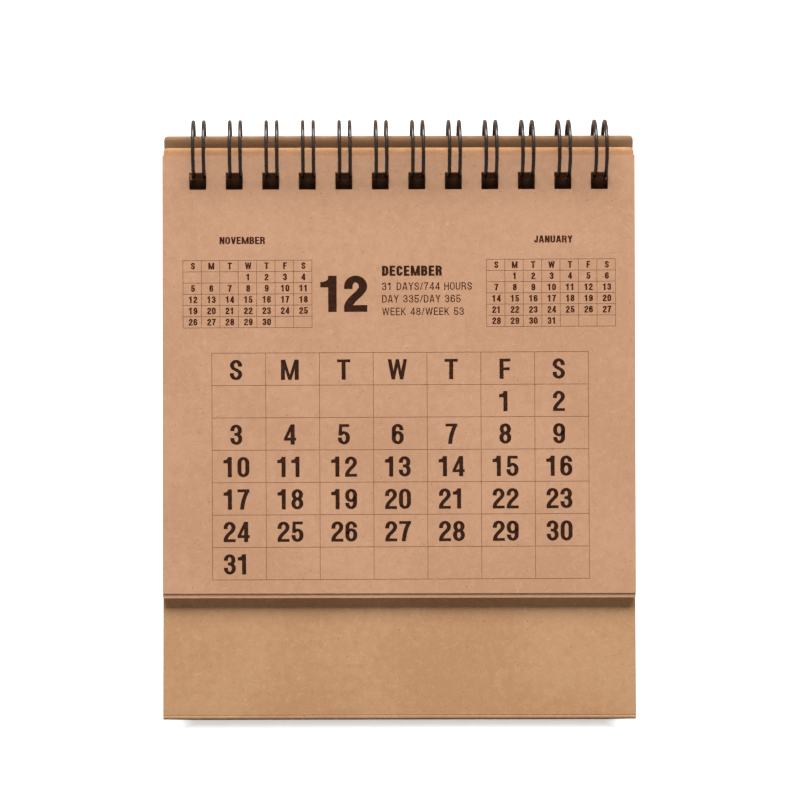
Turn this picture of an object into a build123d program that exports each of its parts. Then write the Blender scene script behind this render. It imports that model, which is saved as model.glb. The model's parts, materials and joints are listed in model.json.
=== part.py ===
"""Desk calendar: a folded kraft-board stand with a pad of leaves on a double-loop wire.

Millimetres. X runs across the calendar, Y from front to back, Z up. The origin is the
middle of the base on the table. The leaves face the front, towards -Y.
"""

import os
from math import acos, asin, atan2, cos, degrees, hypot, radians, sin, sqrt

from build123d import *

# Stand: one board, folded into a front panel, a base and a back panel
sheet_width = 110.0            # across the stand and the leaves
board_thickness = 0.9
panel_length = 133.5           # fold to top edge, along the outer face
base_depth = 70.0              # fold to fold
fold_radius = 0.4              # outside of each scored fold
corner_radius = 1.0            # top corners of the two panels

# Leaves
leaf_height = 101.9
leaf_margin = 3.95             # top edge to the holes
leaf_thickness = 0.2
rear_leaves_thickness = 1.4    # the other leaves together
rear_leaves_extra = 1.0        # how much taller the rear leaves are
leaf_gap = 0.3                 # air between the front leaf and those behind it

# Double-loop wire
wire_width = 0.8               # square section with the area of a 0.9 round wire
loop_radius = 6.5              # loop axis to the middle of the wire
strand_spacing = 2.45          # between the two strands of a loop
bridge_reach = 1.3             # end of a strand to the middle of the bar across it
bridge_chamfer = 0.9           # across the outer corner of a bend
tip_gap = 0.4                  # between a loop's closed tip and its root
seam_angle = 33.0              # closing seam, from straight down towards the back

# Punched holes, one for each loop
loop_pitch = 8.5
hole_height = 4.0
hole_side_clearance = 0.375    # wire to the side of a hole
seat_clearance = 0.2           # wire to the edge of the hole that bears on it

# Where the loops hold the sheets
axis_setback = 1.1             # loop axis behind the middle of the base
axis_drop = 0.1                # loop axis below the top edge of the front panel
front_panel_setback = 1.65     # loop axis to the top edge of the front panel's face
back_panel_setback = 4.9       # loop axis to the top edge of the back panel's outer face
leaf_standoff = 2.1            # loop axis to the face of the front leaf
rest_gap = 0.3                 # foot of the rear leaves to the front panel

# Worked out from the sizes above
front_lean = degrees(asin((base_depth / 2 + axis_setback + front_panel_setback) / panel_length))
back_lean = degrees(asin((base_depth / 2 - axis_setback - back_panel_setback) / panel_length))
axis_height = panel_length * cos(radians(front_lean)) - axis_drop
loop_axis = Vector(0, axis_setback, axis_height)
loop_count = int(sheet_width / loop_pitch - 0.5)
inner_radius = loop_radius - wire_width / 2
outer_radius = loop_radius + wire_width / 2
hole_width = strand_spacing + wire_width + 2 * hole_side_clearance
front_leaf_back = leaf_standoff - leaf_thickness
rear_leaves_front = front_leaf_back - leaf_gap
rear_leaves_back = rear_leaves_front - rear_leaves_thickness


def leaning_plane(origin, lean, facing):
    """Plane of a sheet that leans away from its face, with local Y running up the sheet.

    facing is -1 for a sheet that faces the front and 1 for one that faces the back.
    """
    tilt = radians(lean)
    return Plane(origin=origin, x_dir=(-facing, 0, 0), z_dir=(0, facing * cos(tilt), sin(tilt)))


def sheet_distances(front, back):
    """Nearest and farthest distance from the loop axis to a sheet between two levels."""
    nearest = 0.0 if front * back < 0 else min(abs(front), abs(back))
    return nearest, max(abs(front), abs(back))


def inner_reach(front, back):
    """How far below the loop axis the inside of the loop enters a sheet, along the sheet."""
    return sqrt(inner_radius**2 - sheet_distances(front, back)[1] ** 2)


def outer_reach(front, back):
    """How far below the loop axis the outside of the loop leaves a sheet, along the sheet."""
    return sqrt(outer_radius**2 - sheet_distances(front, back)[0] ** 2)


def hanging_hole_top(front, back):
    """Top edge of a leaf's holes, hung on the loops, in the leaf's own plane."""
    return seat_clearance - inner_reach(front, back)


# The leaves hang from the loops, and their foot leans on the front panel
front_face = leaning_plane((0, -base_depth / 2, 0), front_lean, -1)
back_face = leaning_plane((0, base_depth / 2, 0), back_lean, 1)
axis_on_front = front_face.to_local_coords(loop_axis)
axis_on_back = back_face.to_local_coords(loop_axis)

front_hole_top = hanging_hole_top(leaf_standoff, front_leaf_back)
rear_hole_top = hanging_hole_top(rear_leaves_front, rear_leaves_back)
rear_leaves_height = leaf_height + rear_leaves_extra
rear_leaves_foot = rear_leaves_height - leaf_margin - rear_hole_top
leaf_swing = acos((rest_gap - axis_on_front.Z) / hypot(rear_leaves_back, rear_leaves_foot))
leaf_lean = front_lean - degrees(leaf_swing - atan2(rear_leaves_foot, rear_leaves_back))
leaf_plane = leaning_plane(loop_axis, leaf_lean, -1)


def hole_row(edge, side, mode):
    """Draw the row of holes from their top edge (Align.MAX) or their foot (Align.MIN)."""
    with Locations((0, edge)):
        with GridLocations(loop_pitch, 0, loop_count, 1):
            Rectangle(hole_width, hole_height, align=(Align.CENTER, side), mode=mode)


def leaf_outline(hole_top, height):
    """Draw a leaf with its punched holes in the current sketch."""
    with Locations((0, hole_top + leaf_margin)):
        Rectangle(sheet_width, height, align=(Align.CENTER, Align.MAX))
    hole_row(hole_top, Align.MAX, Mode.SUBTRACT)


os.makedirs("parts", exist_ok=True)

# Stand: the folded section, then the holes that the loops pass through
front_top = front_face.from_local_coords(Vector(0, panel_length, 0))
back_top = back_face.from_local_coords(Vector(0, panel_length, 0))
front_hole_foot = axis_on_front.Y - seat_clearance - outer_reach(
    axis_on_front.Z, axis_on_front.Z + board_thickness
)
back_hole_foot = axis_on_back.Y - seat_clearance - outer_reach(
    axis_on_back.Z, axis_on_back.Z + board_thickness
)

with BuildPart() as stand_board:
    with BuildSketch(Plane.YZ):
        with BuildLine():
            outer_line = FilletPolyline(
                (front_top.Y, front_top.Z),
                (-base_depth / 2, 0),
                (base_depth / 2, 0),
                (back_top.Y, back_top.Z),
                radius=fold_radius,
            )
            offset(outer_line, amount=board_thickness, side=Side.LEFT)
        make_face()
    extrude(amount=sheet_width / 2, both=True)
    for top_face in stand_board.faces().sort_by(Axis.Z)[-2:]:
        fillet(top_face.edges().sort_by(SortBy.LENGTH)[:2], radius=corner_radius)
    for face, hole_foot in ((front_face, front_hole_foot), (back_face, back_hole_foot)):
        with BuildSketch(face):
            hole_row(hole_foot, Align.MIN, Mode.ADD)
        extrude(amount=-2 * board_thickness, mode=Mode.SUBTRACT)
stand_board.part.label = "stand_board"
export_step(stand_board.part, "parts/stand_board.step")

# Leaves: the month on show, and the rest of the pad behind it
with BuildPart() as front_leaf:
    with BuildSketch(leaf_plane.offset(front_leaf_back)):
        leaf_outline(front_hole_top, leaf_height)
    extrude(amount=leaf_thickness)
front_leaf.part.label = "front_leaf"
export_step(front_leaf.part, "parts/front_leaf.step")

with BuildPart() as rear_leaves:
    with BuildSketch(leaf_plane.offset(rear_leaves_back)):
        leaf_outline(rear_hole_top, rear_leaves_height)
    extrude(amount=rear_leaves_thickness)
rear_leaves.part.label = "rear_leaves"
export_step(rear_leaves.part, "parts/rear_leaves.step")


# Wire: each loop is two strands that run from the root inside the stand, up behind the back
# panel, over the ridge and down through the leaves to a closed tip inside the stand. The wire
# is cut half-way to where the next loop would be.
def around_loop(length):
    """Angle, in degrees, of an arc of the given length along the loop."""
    return degrees(length / loop_radius)


def outward(angle):
    """Direction from the loop axis at an angle from straight back, rising over the ridge."""
    turn = radians(angle)
    return Vector(0, cos(turn), sin(turn))


def wire_bridge(span):
    """Sketch of the flat U that joins two strands, a span apart, beyond their ends."""
    with BuildSketch() as bridge:
        Rectangle(span + wire_width, bridge_reach + wire_width / 2, align=(Align.CENTER, Align.MIN))
        chamfer(bridge.vertices().group_by(Axis.Y)[-1], length=bridge_chamfer)
        Rectangle(
            span - wire_width,
            bridge_reach - wire_width / 2,
            align=(Align.CENTER, Align.MIN),
            mode=Mode.SUBTRACT,
        )
    return bridge.sketch


half_seam = around_loop((tip_gap + wire_width) / 2 + bridge_reach)
root_angle = seam_angle - 90 + half_seam
tip_angle = seam_angle - 90 - half_seam
root_end = loop_axis + outward(root_angle) * loop_radius
tip_end = loop_axis + outward(tip_angle) * loop_radius
tip_bridge = wire_bridge(strand_spacing)
root_bridge = wire_bridge(loop_pitch - strand_spacing)

with BuildPart() as wire_binding:
    with BuildSketch(Plane(origin=root_end, x_dir=(1, 0, 0), z_dir=outward(root_angle + 90))):
        with GridLocations(loop_pitch, 0, loop_count, 1):
            with GridLocations(strand_spacing, 0, 2, 1):
                Rectangle(wire_width, wire_width)
    revolve(axis=Axis(loop_axis, (1, 0, 0)), revolution_arc=360 + tip_angle - root_angle)
    with BuildSketch(Plane(origin=tip_end, x_dir=(1, 0, 0), z_dir=-outward(tip_angle))):
        with GridLocations(loop_pitch, 0, loop_count, 1):
            add(tip_bridge)
    extrude(amount=wire_width / 2, both=True)
    with BuildSketch(Plane(origin=root_end, x_dir=(1, 0, 0), z_dir=outward(root_angle))):
        with GridLocations(loop_pitch, 0, loop_count + 1, 1):
            add(root_bridge)
        Rectangle(loop_count * loop_pitch, 2 * bridge_reach + wire_width, mode=Mode.INTERSECT)
    extrude(amount=wire_width / 2, both=True)
wire_binding.part.label = "wire_binding"
export_step(wire_binding.part, "parts/wire_binding.step")
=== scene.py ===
"""Looks of a desk calendar: kraft sheets, a printed month and a black double-loop wire.

Metres. X runs across the calendar, Y from front to back, Z up. Every sheet is laid out from
the punched faces of the frame, so the dressed pieces follow its sizes and places.
"""

import json
import logging
import math
from collections.abc import Sequence
from dataclasses import dataclass, field, replace
from enum import Enum
from itertools import pairwise

import bmesh
import bpy
import numpy as np
from mathutils import Matrix, Vector


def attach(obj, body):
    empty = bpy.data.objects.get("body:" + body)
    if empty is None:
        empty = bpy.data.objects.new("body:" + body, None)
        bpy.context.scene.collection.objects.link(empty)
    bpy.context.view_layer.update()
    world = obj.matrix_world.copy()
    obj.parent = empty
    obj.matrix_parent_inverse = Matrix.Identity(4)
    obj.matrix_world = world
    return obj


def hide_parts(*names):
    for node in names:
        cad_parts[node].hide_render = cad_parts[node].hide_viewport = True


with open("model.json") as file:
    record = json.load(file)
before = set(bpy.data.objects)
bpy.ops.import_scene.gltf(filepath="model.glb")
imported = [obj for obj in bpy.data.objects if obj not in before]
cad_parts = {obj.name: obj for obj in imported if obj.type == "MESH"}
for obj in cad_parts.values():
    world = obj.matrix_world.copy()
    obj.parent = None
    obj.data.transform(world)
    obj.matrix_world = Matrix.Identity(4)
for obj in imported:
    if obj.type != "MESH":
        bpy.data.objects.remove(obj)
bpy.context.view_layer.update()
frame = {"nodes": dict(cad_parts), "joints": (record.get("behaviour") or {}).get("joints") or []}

LOG = logging.getLogger("desk_calendar")
MM = 0.001
RIGHT = Vector((1, 0, 0))
UP = Vector((0, 0, 1))
LOOP_AXIS = Vector(frame["joints"][0]["pos_m"])
SHEET_UV = "sheet"
SHEET_PART = "sheet_part"

# Limits for reading the sheets of the frame
SAME_PLACE = 1e-6              # largest distance between places that count as one
PLACE_DIGITS = 5               # decimals of a place, in metres
HOLE_MARGIN = 1.0 * MM         # least distance of the holes from the foot and the sides
STANDING = 0.5                 # least share along Y of a standing sheet's normal
OPPOSITE = -0.999              # largest cosine between the normals of opposite faces

# Limits for the surface of a sheet
SQUARE_EDGE = math.radians(60)  # edges sharper than this are rounded
SMOOTH_EDGE = math.radians(25)  # edges flatter than this are shaded smoothly
PART_MARGIN = 0.5              # half the step between the values of two parts
NOISE_RANGE = (0.3, 0.7)       # usual lows and highs of a noise

Point = tuple[float, float]
Colour = tuple[float, float, float, float]


class Body(Enum):
    """Bodies of the frame that pieces ride on."""

    STAND = "stand"
    FRONT_LEAF = "front_leaf"


class Slot(Enum):
    """Material slots of the record."""

    BOARD = "kraft_board"
    LEAF = "kraft_leaf"
    WIRE = "black_wire"


class Facing(Enum):
    """Side that a sheet's face looks to, as the sign of its normal along Y."""

    FRONT = -1
    BACK = 1


class SheetPart(Enum):
    """Part of a sheet's surface, as the value of its face attribute."""

    INNER = -1.0
    OUTER = 0.0
    CUT = 1.0
    # The walls of the holes and a band of board below them are painted dark, as painted shade for the
    # insides of the holes
    PUNCHED = 2.0
    RUBBED = 3.0


def srgb(red: int, green: int, blue: int) -> Colour:
    """Turn a screen colour into a linear one.

    Args:
        red, green, blue: levels from 0 to 255.

    Returns:
        The linear colour with full alpha.
    """
    levels = [level / 255 for level in (red, green, blue)]
    linear = [v / 12.92 if v <= 0.04045 else ((v + 0.055) / 1.055) ** 2.4 for v in levels]
    return (*linear, 1.0)


def grey(level: float) -> Colour:
    """Give a neutral linear colour."""
    return (level, level, level, 1.0)


WHITE = grey(1.0)


class Nodes:
    """Shorthand for filling a node tree."""

    def __init__(self, tree: bpy.types.NodeTree) -> None:
        """Keep the tree that nodes are added to."""
        self.tree = tree

    def feed(self, socket: bpy.types.NodeSocket, value: object) -> None:
        """Link an input, or set its own value.

        Args:
            socket: the input.
            value: the socket that it is linked to, or its value.
        """
        if isinstance(value, bpy.types.NodeSocket):
            self.tree.links.new(value, socket)
        else:
            socket.default_value = value

    def add(self, kind: str, inputs: dict | None = None, **settings: object) -> bpy.types.Node:
        """Add a node.

        Args:
            kind: Blender's name of the node type.
            inputs: values or sockets for its inputs, by name or place.
            settings: other properties of the node.

        Returns:
            The new node.
        """
        node = self.tree.nodes.new(kind)
        for name, value in settings.items():
            setattr(node, name, value)
        for name, value in (inputs or {}).items():
            self.feed(node.inputs[name], value)
        return node

    def math(self, operation: str, first: object, second: object = 0.0) -> bpy.types.NodeSocket:
        """Add a Math node and return its result."""
        return self.add("ShaderNodeMath", {0: first, 1: second}, operation=operation).outputs[0]

    def ramp(
        self, value: object, low: float, high: float, start: float = 0.0, end: float = 1.0
    ) -> bpy.types.NodeSocket:
        """Map a value to another range, with soft ends.

        Args:
            value: the value or its socket.
            low, high: ends of its range.
            start, end: what they turn into.

        Returns:
            The result socket.
        """
        inputs = {0: value, 1: low, 2: high, 3: start, 4: end}
        node = self.add("ShaderNodeMapRange", inputs, interpolation_type="SMOOTHSTEP")
        return node.outputs[0]

    def mix(self, share: object, first: object, second: object) -> bpy.types.NodeSocket:
        """Mix two colours.

        Args:
            share: how much of the second colour there is, from 0 to 1.
            first, second: the colours.

        Returns:
            The result socket.
        """
        node = self.add("ShaderNodeMix", {0: share, 6: first, 7: second}, data_type="RGBA")
        return node.outputs[2]

    def noise(
        self,
        vector: object,
        scale: float,
        detail: float,
        distortion: float = 0.0,
        dimensions: str = "2D",
    ) -> bpy.types.NodeSocket:
        """Add a noise texture.

        Args:
            vector: where it is read.
            scale, detail, distortion: its settings.
            dimensions: 2D for the pattern of a sheet, 3D for one in space.

        Returns:
            The socket of its value.
        """
        inputs = {"Vector": vector, "Scale": scale, "Detail": detail, "Distortion": distortion}
        return self.add("ShaderNodeTexNoise", inputs, noise_dimensions=dimensions).outputs[0]

    def deliver(self, name: str, geometry: object, material: object) -> None:
        """End a geometry tree in plain dressed geometry.

        Args:
            name: the tree's output.
            geometry, material: sockets of what it puts out and of its finish.
        """
        whole = self.add("GeometryNodeRealizeInstances", {"Geometry": geometry})
        inputs = {"Geometry": whole.outputs[0], "Material": material}
        dressed = self.add("GeometryNodeSetMaterial", inputs)
        self.add("NodeGroupOutput", {name: dressed.outputs[0]})


def new_group(name: str, kind: str, inputs: dict[str, str], outputs: dict[str, str]) -> Nodes:
    """Make a node group with named sockets.

    Args:
        name: the group's name.
        kind: ShaderNodeTree or GeometryNodeTree.
        inputs, outputs: socket types by socket name.

    Returns:
        The shorthand for the empty group.
    """
    tree = bpy.data.node_groups.new(name, kind)
    for direction, sockets in (("INPUT", inputs), ("OUTPUT", outputs)):
        for socket, socket_type in sockets.items():
            tree.interface.new_socket(name=socket, in_out=direction, socket_type=socket_type)
    return Nodes(tree)


def new_material(name: str) -> tuple[Nodes, bpy.types.Node, bpy.types.Material]:
    """Make a material with a bare Principled shader.

    Args:
        name: the material's name.

    Returns:
        The shorthand for its tree, the shader node and the material.
    """
    material = bpy.data.materials.new(name)
    material.use_nodes = True
    return Nodes(material.node_tree), material.node_tree.nodes["Principled BSDF"], material


@dataclass(frozen=True)
class KraftPulp:
    """What all kraft shares: a cloudy tone, pale and dark fibres, and flecks.

    Scales are for sheet coordinates in millimetres.

    Attributes:
        broad_scale, fine_scale: of the broad and the fine clouds.
        broad_share: how much of the tone the broad clouds make.
        fibre_lays: turn in degrees and shift in millimetres of each lay of fibres.
        fibre_size: length and width of a fibre.
        fibre_bend: how crooked the fibres are.
        pale_levels, dark_levels: levels of the fibres' noise where one starts and is full.
        fleck_scale: of the cells that may hold a fleck.
        fleck_reach, fleck_edge: largest size and soft edge of a fleck, as shares of a cell.
        fleck_levels: levels of a cell's own value where a fleck starts and is full.
        grain_scale: of the finest relief.
        pale_rise, dark_drop: how far the fibres stand out of the relief or lie in it.
    """

    broad_scale: float = 0.035
    fine_scale: float = 0.45
    broad_share: float = 0.6
    fibre_lays: tuple[Point, ...] = ((12, 0.0), (55, 31.0), (98, 57.0), (147, 83.0))
    fibre_size: Point = (2.2, 0.3)
    fibre_bend: float = 0.9
    pale_levels: Point = (0.66, 0.76)
    dark_levels: Point = (0.33, 0.24)
    fleck_scale: float = 0.5
    fleck_reach: float = 0.11
    fleck_edge: float = 0.05
    fleck_levels: Point = (0.55, 0.75)
    grain_scale: float = 5.5
    pale_rise: float = 0.8
    dark_drop: float = 0.5

    def clouds(self, nodes: Nodes, sheet: bpy.types.NodeSocket) -> bpy.types.NodeSocket:
        """Add the cloudy tone.

        Args:
            nodes: the group's tree.
            sheet: the sheet coordinates.

        Returns:
            The socket of the tone.
        """
        broad = nodes.noise(sheet, self.broad_scale, detail=3.0)
        fine = nodes.noise(sheet, self.fine_scale, detail=4.0)
        broad = nodes.math("MULTIPLY", broad, self.broad_share)
        return nodes.math("ADD", broad, nodes.math("MULTIPLY", fine, 1 - self.broad_share))

    def fibres(
        self, nodes: Nodes, sheet: bpy.types.NodeSocket
    ) -> tuple[bpy.types.NodeSocket, bpy.types.NodeSocket]:
        """Add the fibres, lay by lay.

        Args:
            nodes: the group's tree.
            sheet: the sheet coordinates.

        Returns:
            The masks of the pale and of the dark fibres.
        """
        pale, dark = 0.0, 0.0
        for turn, shift in self.fibre_lays:
            lay = {
                "Vector": sheet,
                "Location": (shift, shift, 0),
                "Rotation": (0, 0, math.radians(turn)),
                "Scale": (*self.fibre_size, 1),
            }
            laid = nodes.add("ShaderNodeMapping", lay, vector_type="TEXTURE").outputs[0]
            hair = nodes.noise(laid, 1.0, detail=2.0, distortion=self.fibre_bend)
            pale = nodes.math("MAXIMUM", pale, nodes.ramp(hair, *self.pale_levels))
            dark = nodes.math("MAXIMUM", dark, nodes.ramp(hair, *self.dark_levels))
        return pale, dark

    def flecks(self, nodes: Nodes, sheet: bpy.types.NodeSocket) -> bpy.types.NodeSocket:
        """Add the flecks, in some of the cells of a scatter.

        Args:
            nodes: the group's tree.
            sheet: the sheet coordinates.

        Returns:
            The mask of the flecks.
        """
        scatter = {"Vector": sheet, "Scale": self.fleck_scale}
        cells = nodes.add("ShaderNodeTexVoronoi", scatter, voronoi_dimensions="2D").outputs
        chosen, size, _ = nodes.add("ShaderNodeSeparateColor", {0: cells["Color"]}).outputs
        reach = nodes.math("MULTIPLY", size, self.fleck_reach)
        inside = nodes.math("SUBTRACT", reach, cells["Distance"])
        spot = nodes.ramp(inside, 0.0, self.fleck_edge)
        return nodes.math("MULTIPLY", spot, nodes.ramp(chosen, *self.fleck_levels))

    def group(self) -> bpy.types.NodeTree:
        """Build the shared group.

        Returns:
            A group that reads sheet coordinates and puts out masks and a height.
        """
        masks = ("Cloud", "Pale Fibre", "Dark Fibre", "Fleck", "Height")
        nodes = new_group(
            "kraft_pulp",
            "ShaderNodeTree",
            {"Sheet": "NodeSocketVector"},
            {name: "NodeSocketFloat" for name in masks},
        )
        sheet = nodes.add("NodeGroupInput").outputs["Sheet"]
        cloud = self.clouds(nodes, sheet)
        pale, dark = self.fibres(nodes, sheet)
        fleck = self.flecks(nodes, sheet)
        height = nodes.noise(sheet, self.grain_scale, detail=3.0)
        height = nodes.math("ADD", height, nodes.math("MULTIPLY", pale, self.pale_rise))
        height = nodes.math("SUBTRACT", height, nodes.math("MULTIPLY", dark, self.dark_drop))
        nodes.add("NodeGroupOutput", dict(zip(masks, (cloud, pale, dark, fleck, height))))
        return nodes.tree


@dataclass(frozen=True)
class InkSoak:
    """What all ink shares: paper that soaks it up unevenly.

    Attributes:
        grain: scale of the soaked spots, per metre.
        soaked_levels: levels of their noise where a spot starts and is full.
        roughness: of a full and of a soaked-in layer.
    """

    grain: float = 1400.0
    soaked_levels: Point = (0.45, 0.75)
    roughness: Point = (0.6, 0.8)

    def group(self) -> bpy.types.NodeTree:
        """Build the shared group.

        Returns:
            A group that reads a place and puts out a mask and a roughness.
        """
        nodes = new_group(
            "ink_soak",
            "ShaderNodeTree",
            {"Place": "NodeSocketVector"},
            {name: "NodeSocketFloat" for name in ("Soaked", "Roughness")},
        )
        place = nodes.add("NodeGroupInput").outputs["Place"]
        soak = nodes.noise(place, self.grain, detail=3.0, dimensions="3D")
        soaked = nodes.ramp(soak, *self.soaked_levels)
        roughness = nodes.ramp(soak, *NOISE_RANGE, *self.roughness)
        nodes.add("NodeGroupOutput", {"Soaked": soaked, "Roughness": roughness})
        return nodes.tree


@dataclass(frozen=True)
class KraftFinish:
    """Unbleached kraft paper or board.

    Attributes:
        name: the material's name.
        light, deep: ends of the cloudy tone.
        cut: colour of the cut edges.
        inner_share: how far the inner face is painted paler, towards the colour of the pale fibres:
            painted light on the board's shaded inside.
        tone_levels: levels of the clouds where the tone is fully deep and fully light.
        rub: dark colour of the sides of the holes and of the board below them, given as marks of the
            wire but painted shade for the dark insides of the holes.
        rub_share: how strong that painted shade is on the board below the holes.
        pale_fibre, dark_fibre, fleck: colours of the fibres and flecks.
        pale_share, dark_share, fleck_share: how strongly they show, from 0 to 1.
        roughness: of the deeper and the lighter clouds.
        specular: strength of the surface's shine.
        bump, bump_height: strength and height of the fibres' relief.
    """

    name: str
    light: Colour
    deep: Colour
    cut: Colour
    inner_share: float = 0.0
    tone_levels: Point = (0.36, 0.64)
    rub: Colour = srgb(58, 38, 27)
    rub_share: float = 0.8
    pale_fibre: Colour = srgb(232, 198, 160)
    dark_fibre: Colour = srgb(128, 84, 54)
    fleck: Colour = srgb(92, 58, 36)
    pale_share: float = 0.225
    dark_share: float = 0.15
    fleck_share: float = 0.4
    roughness: Point = (0.78, 0.9)
    specular: float = 0.25
    bump: float = 0.35
    bump_height: float = 0.03 * MM

    def material(self, pulp: bpy.types.NodeTree) -> bpy.types.Material:
        """Make the material.

        Args:
            pulp: the shared kraft group.

        Returns:
            The new material.
        """
        nodes, shader, material = new_material(self.name)
        sheet = nodes.add("ShaderNodeUVMap", uv_map=SHEET_UV).outputs[0]
        in_mm = nodes.add("ShaderNodeVectorMath", {0: sheet, "Scale": 1 / MM}, operation="SCALE")
        pulp_out = nodes.add("ShaderNodeGroup", {"Sheet": in_mm.outputs[0]}, node_tree=pulp).outputs
        cloud = pulp_out["Cloud"]
        colour = nodes.mix(nodes.ramp(cloud, *self.tone_levels), self.deep, self.light)
        for mask, tint, share in (
            ("Pale Fibre", self.pale_fibre, self.pale_share),
            ("Dark Fibre", self.dark_fibre, self.dark_share),
            ("Fleck", self.fleck, self.fleck_share),
        ):
            colour = nodes.mix(nodes.math("MULTIPLY", pulp_out[mask], share), colour, tint)
        part = nodes.add("ShaderNodeAttribute", attribute_name=SHEET_PART).outputs["Fac"]
        for kind, tint, share in (
            # Painted light: the inner face is painted paler
            (SheetPart.INNER, self.pale_fibre, self.inner_share),
            # Painted shade: the walls of the holes and the band of board below them are painted dark
            (SheetPart.CUT, self.cut, 1.0),
            (SheetPart.PUNCHED, self.rub, 1.0),
            (SheetPart.RUBBED, self.rub, self.rub_share),
        ):
            match = {0: part, 1: kind.value, 2: PART_MARGIN}
            inside = nodes.add("ShaderNodeMath", match, operation="COMPARE").outputs[0]
            colour = nodes.mix(nodes.math("MULTIPLY", inside, share), colour, tint)
        nodes.feed(shader.inputs["Base Color"], colour)
        nodes.feed(shader.inputs["Roughness"], nodes.ramp(cloud, *NOISE_RANGE, *self.roughness))
        shader.inputs["Specular IOR Level"].default_value = self.specular
        relief = {"Strength": self.bump, "Distance": self.bump_height, "Height": pulp_out["Height"]}
        nodes.feed(shader.inputs["Normal"], nodes.add("ShaderNodeBump", relief).outputs[0])
        return material


@dataclass(frozen=True)
class WireFinish:
    """Black coat on the binding wire, a little scuffed.

    Attributes:
        name: the material's name.
        coat, scuff: colours of the coat and of its rubbed spots.
        grain: scale of the spots, per metre.
        coat, scuff: colours of the coat and of its scuffed spots.
        roughness: of the smooth and the scuffed coat.
        specular: strength of the coat's shine.
        gloss, gloss_roughness: the thin clear layer over it.
    """

    name: str = "wire_coat"
    coat: Colour = srgb(27, 14, 10)
    scuff: Colour = srgb(58, 42, 34)
    grain: float = 900.0
    scuff_levels: Point = (0.58, 0.75)
    roughness: Point = (0.24, 0.38)
    specular: float = 0.45
    gloss: float = 0.15
    gloss_roughness: float = 0.35

    def material(self) -> bpy.types.Material:
        """Make the material.

        Returns:
            The new material.
        """
        nodes, shader, material = new_material(self.name)
        place = nodes.add("ShaderNodeTexCoord").outputs["Object"]
        rub = nodes.noise(place, self.grain, detail=4.0, dimensions="3D")
        colour = nodes.mix(nodes.ramp(rub, *self.scuff_levels), self.coat, self.scuff)
        nodes.feed(shader.inputs["Base Color"], colour)
        nodes.feed(shader.inputs["Roughness"], nodes.ramp(rub, *NOISE_RANGE, *self.roughness))
        shader.inputs["Specular IOR Level"].default_value = self.specular
        shader.inputs["Coat Weight"].default_value = self.gloss
        shader.inputs["Coat Roughness"].default_value = self.gloss_roughness
        return material


@dataclass(frozen=True)
class InkFinish:
    """Ink printed on kraft, thinner where the fibres soak it up.

    Attributes:
        name: the material's name.
        full, thin: colours of a full and of a soaked-in layer.
        specular: strength of the ink's shine.
    """

    name: str
    full: Colour
    thin: Colour
    specular: float = 0.1

    def material(self, soak: bpy.types.NodeTree) -> bpy.types.Material:
        """Make the material.

        Args:
            soak: the shared ink group.

        Returns:
            The new material.
        """
        nodes, shader, material = new_material(self.name)
        place = nodes.add("ShaderNodeTexCoord").outputs["Object"]
        soak_out = nodes.add("ShaderNodeGroup", {"Place": place}, node_tree=soak).outputs
        colour = nodes.mix(soak_out["Soaked"], self.full, self.thin)
        nodes.feed(shader.inputs["Base Color"], colour)
        nodes.feed(shader.inputs["Roughness"], soak_out["Roughness"])
        shader.inputs["Specular IOR Level"].default_value = self.specular
        return material


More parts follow.
